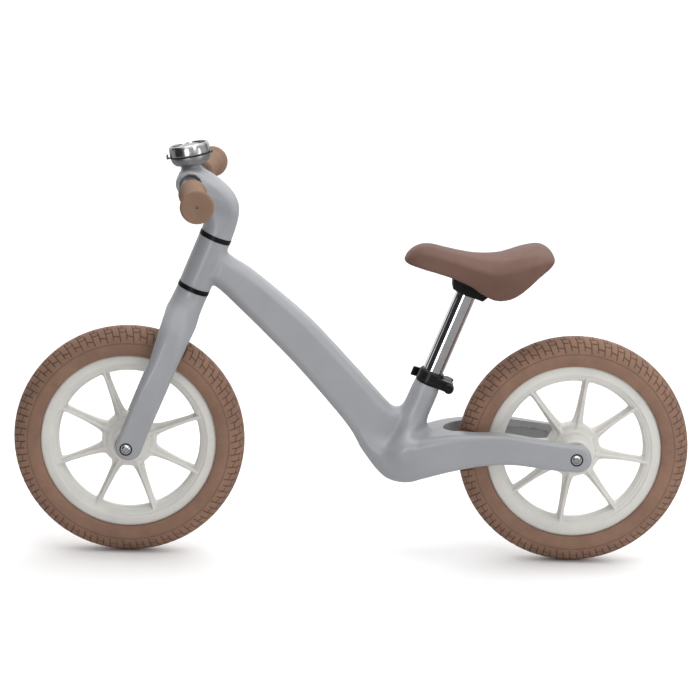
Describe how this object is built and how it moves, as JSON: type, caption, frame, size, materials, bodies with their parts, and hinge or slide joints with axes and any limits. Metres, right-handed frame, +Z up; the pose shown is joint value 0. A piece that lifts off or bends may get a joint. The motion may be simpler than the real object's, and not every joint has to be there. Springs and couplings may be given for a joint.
{
  "type": "balance bike",
  "caption": "Child's balance bike with a cast frame, airless wheels, sprung-trigger bell, swept bar and a saddle on a clamped post.",
  "frame": {"origin": "on the ground, halfway between the two axles, on the middle plane", "axes": "+X towards the rear wheel along the ground, +Y towards the right side, +Z up"},
  "size_m": [0.849, 0.3834, 0.5243],
  "materials": {
    "frame_paint": "satin grey powder coat",
    "black_plastic": "moulded, matte",
    "black_metal": "satin black coat",
    "steel": "turned",
    "bolt_steel": "bright zinc",
    "bar_steel": "satin grey",
    "grip_rubber": "fine moulded texture, matte",
    "bell_satin": "brushed",
    "bell_chrome": "polished",
    "post_chrome": "polished",
    "tyre_foam": "moulded foam, matte",
    "wheel_nylon": "moulded, satin",
    "saddle_foam": "fine moulded grain, satin"
  },
  "bodies": {
    "frame": {"main_frame": "frame_paint", "upper_headset_cup": "black_plastic", "lower_headset_cup": "black_plastic", "upper_headset_bearing": "steel", "lower_headset_bearing": "steel", "seat_clamp_collar": "black_metal", "clamp_skewer": "steel", "clamp_nut": "black_plastic", "clamp_pin": "steel", "rear_axle": "steel", "rear_axle_bolts": "bolt_steel", "rear_bolt_rings": "black_plastic", "rear_hub_spacers": "black_plastic"},
    "steering": {"fork": "frame_paint", "steerer_tube": "steel", "draw_bolt": "steel", "stem": "frame_paint", "handlebar": "bar_steel", "bar_lock_screw": "steel", "left_grip": "grip_rubber", "right_grip": "grip_rubber", "bell_base": "bell_satin", "bell_post": "steel", "bell_dome": "bell_chrome", "bell_ring": "black_metal", "bell_cap": "bell_satin", "front_axle": "steel", "front_axle_bolts": "bolt_steel", "front_bolt_rings": "black_plastic", "front_hub_spacers": "black_plastic"},
    "bell_trigger": {"bell_lever": "black_metal", "bell_striker": "steel"},
    "front_wheel": {"front_tyre": "tyre_foam", "front_wheel_core": "wheel_nylon", "front_hub_bearings": "steel"},
    "rear_wheel": {"rear_tyre": "tyre_foam", "rear_wheel_core": "wheel_nylon", "rear_hub_bearings": "steel"},
    "seat": {"seat_post": "post_chrome", "saddle_bracket": "black_plastic", "saddle_base": "black_plastic", "saddle_pad": "saddle_foam", "saddle_bolts": "steel"},
    "clamp_handle": {"clamp_lever": "black_plastic"}
  },
  "joints": [
    {"name": "steering", "type": "hinge", "parent": "frame", "child": "steering", "pos_m": [-0.2795, 0, 0.145], "axis": [0.373, 0, 0.9278], "continuous": true},
    {"name": "front_wheel_spin", "type": "hinge", "parent": "steering", "child": "front_wheel", "pos_m": [-0.2795, 0, 0.145], "axis": [0, 1, 0], "continuous": true},
    {"name": "rear_wheel_spin", "type": "hinge", "parent": "frame", "child": "rear_wheel", "pos_m": [0.2795, 0, 0.145], "axis": [0, 1, 0], "continuous": true},
    {"name": "seat_height", "type": "slide", "parent": "frame", "child": "seat", "axis": [0.3584, 0, 0.9336], "range_m": [-0.06, 0.015]},
    {"name": "clamp_lever_swing", "type": "hinge", "parent": "frame", "child": "clamp_handle", "pos_m": [0.11947, 0.021, 0.22241], "axis": [-0.3584, 0, -0.9336], "range_deg": [0, 150]},
    {"name": "bell_trigger_turn", "type": "hinge", "parent": "steering", "child": "bell_trigger", "pos_m": [-0.205, 0, 0.4946], "axis": [-0.1908, 0, 0.9816], "range_deg": [0, 25], "stiffness_Nm_per_rad": 0.06, "springref_deg": -17.19}
  ]
}
